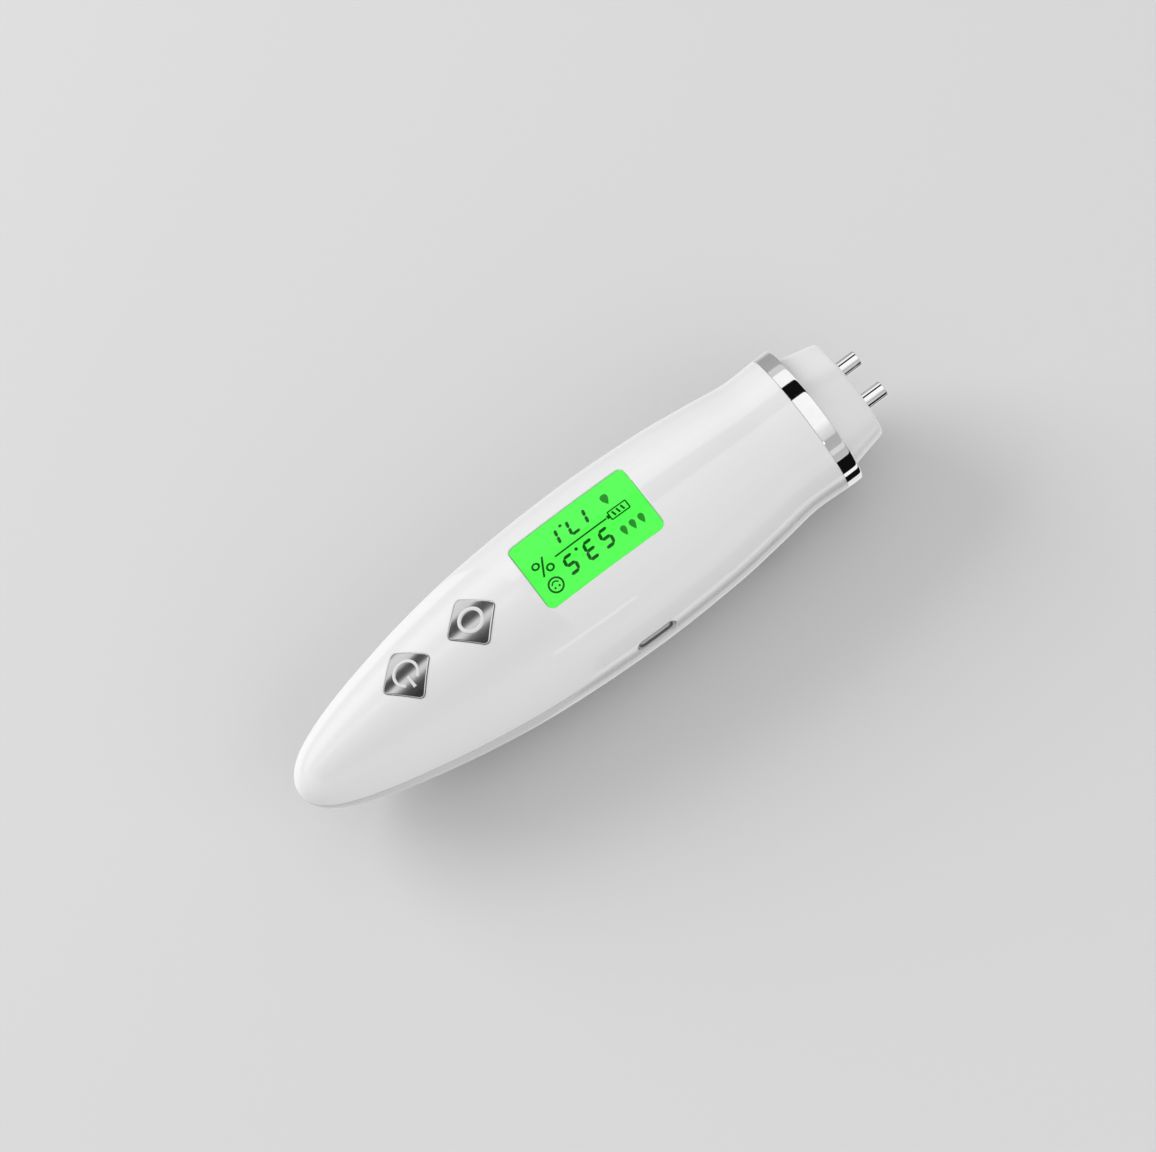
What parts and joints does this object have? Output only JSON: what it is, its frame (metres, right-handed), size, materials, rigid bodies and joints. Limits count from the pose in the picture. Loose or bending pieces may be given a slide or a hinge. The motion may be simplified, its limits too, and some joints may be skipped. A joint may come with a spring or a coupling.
{
  "type": "skin moisture meter",
  "caption": "Pen-shaped skin moisture and oil meter with a lit display, two diamond buttons and a nose with two sprung electrode pins.",
  "frame": {"origin": "under the middle of the bounding box, on the flat that the pen rests on", "axes": "+X along the pen towards the electrode tips, +Z out of the display, -Y to the side with the charging port"},
  "size_m": [0.142, 0.0392, 0.0314],
  "materials": {
    "white_case": "gloss",
    "white_head": "gloss",
    "chrome_trim": "polished",
    "clear_window": "clear",
    "display_glass": "clear",
    "backlight": "lit",
    "lamp": "lit",
    "white_inner": "matt",
    "contact_rubber": "matt",
    "board": "satin",
    "chip": "matt",
    "switch_metal": "satin",
    "screw_steel": "satin",
    "socket_steel": "satin",
    "black_inner": "matt",
    "cell_foil": "satin",
    "foam": "matt",
    "lead_red": "satin",
    "lead_black": "satin",
    "electrode_metal": "polished",
    "spring_steel": "satin"
  },
  "bodies": {
    "case": {"front_shell": "white_case", "rear_shell": "white_case", "trim_ring": "chrome_trim", "probe_head": "white_head", "display_window": "clear_window", "lcd_front_glass": "display_glass", "lcd_rear_glass": "display_glass", "backlight_panel": "backlight", "backlight_lamps": "lamp", "lcd_frame": "white_inner", "lcd_contact_strip": "contact_rubber", "main_board": "board", "main_board_parts": "chip", "controller_chip": "chip", "main_board_screws": "screw_steel", "power_switch_body": "switch_metal", "mode_switch_body": "switch_metal", "charge_board": "board", "charge_board_parts": "chip", "charge_board_screws": "screw_steel", "usb_socket_shell": "socket_steel", "usb_socket_tongue": "black_inner", "battery_cell": "cell_foil", "battery_pad": "foam", "battery_connector": "white_inner", "battery_lead_red": "lead_red", "battery_lead_black": "lead_black", "link_leads": "lead_black", "case_screws": "screw_steel", "probe_board": "board", "probe_board_screws": "screw_steel", "electrode_spring_left": "spring_steel", "electrode_spring_right": "spring_steel", "probe_lead_left": "lead_red", "probe_lead_right": "lead_black"},
    "power_button_body": {"power_button": "chrome_trim", "power_switch_plunger": "black_inner"},
    "mode_button_body": {"mode_button": "chrome_trim", "mode_switch_plunger": "black_inner"},
    "electrode_left_body": {"electrode_left": "electrode_metal"},
    "electrode_right_body": {"electrode_right": "electrode_metal"}
  },
  "joints": [
    {"name": "power_press", "type": "slide", "parent": "case", "child": "power_button_body", "axis": [0, 0, -1], "range_m": [0, 0.0003], "stiffness_N_per_m": 800},
    {"name": "mode_press", "type": "slide", "parent": "case", "child": "mode_button_body", "axis": [0, 0, -1], "range_m": [0, 0.0003], "stiffness_N_per_m": 800},
    {"name": "electrode_left_slide", "type": "slide", "parent": "case", "child": "electrode_left_body", "axis": [-1, 0, 0], "range_m": [0, 0.0015], "stiffness_N_per_m": 300, "deforming": ["electrode_spring_left"]},
    {"name": "electrode_right_slide", "type": "slide", "parent": "case", "child": "electrode_right_body", "axis": [-1, 0, 0], "range_m": [0, 0.0015], "stiffness_N_per_m": 300, "deforming": ["electrode_spring_right"]}
  ]
}
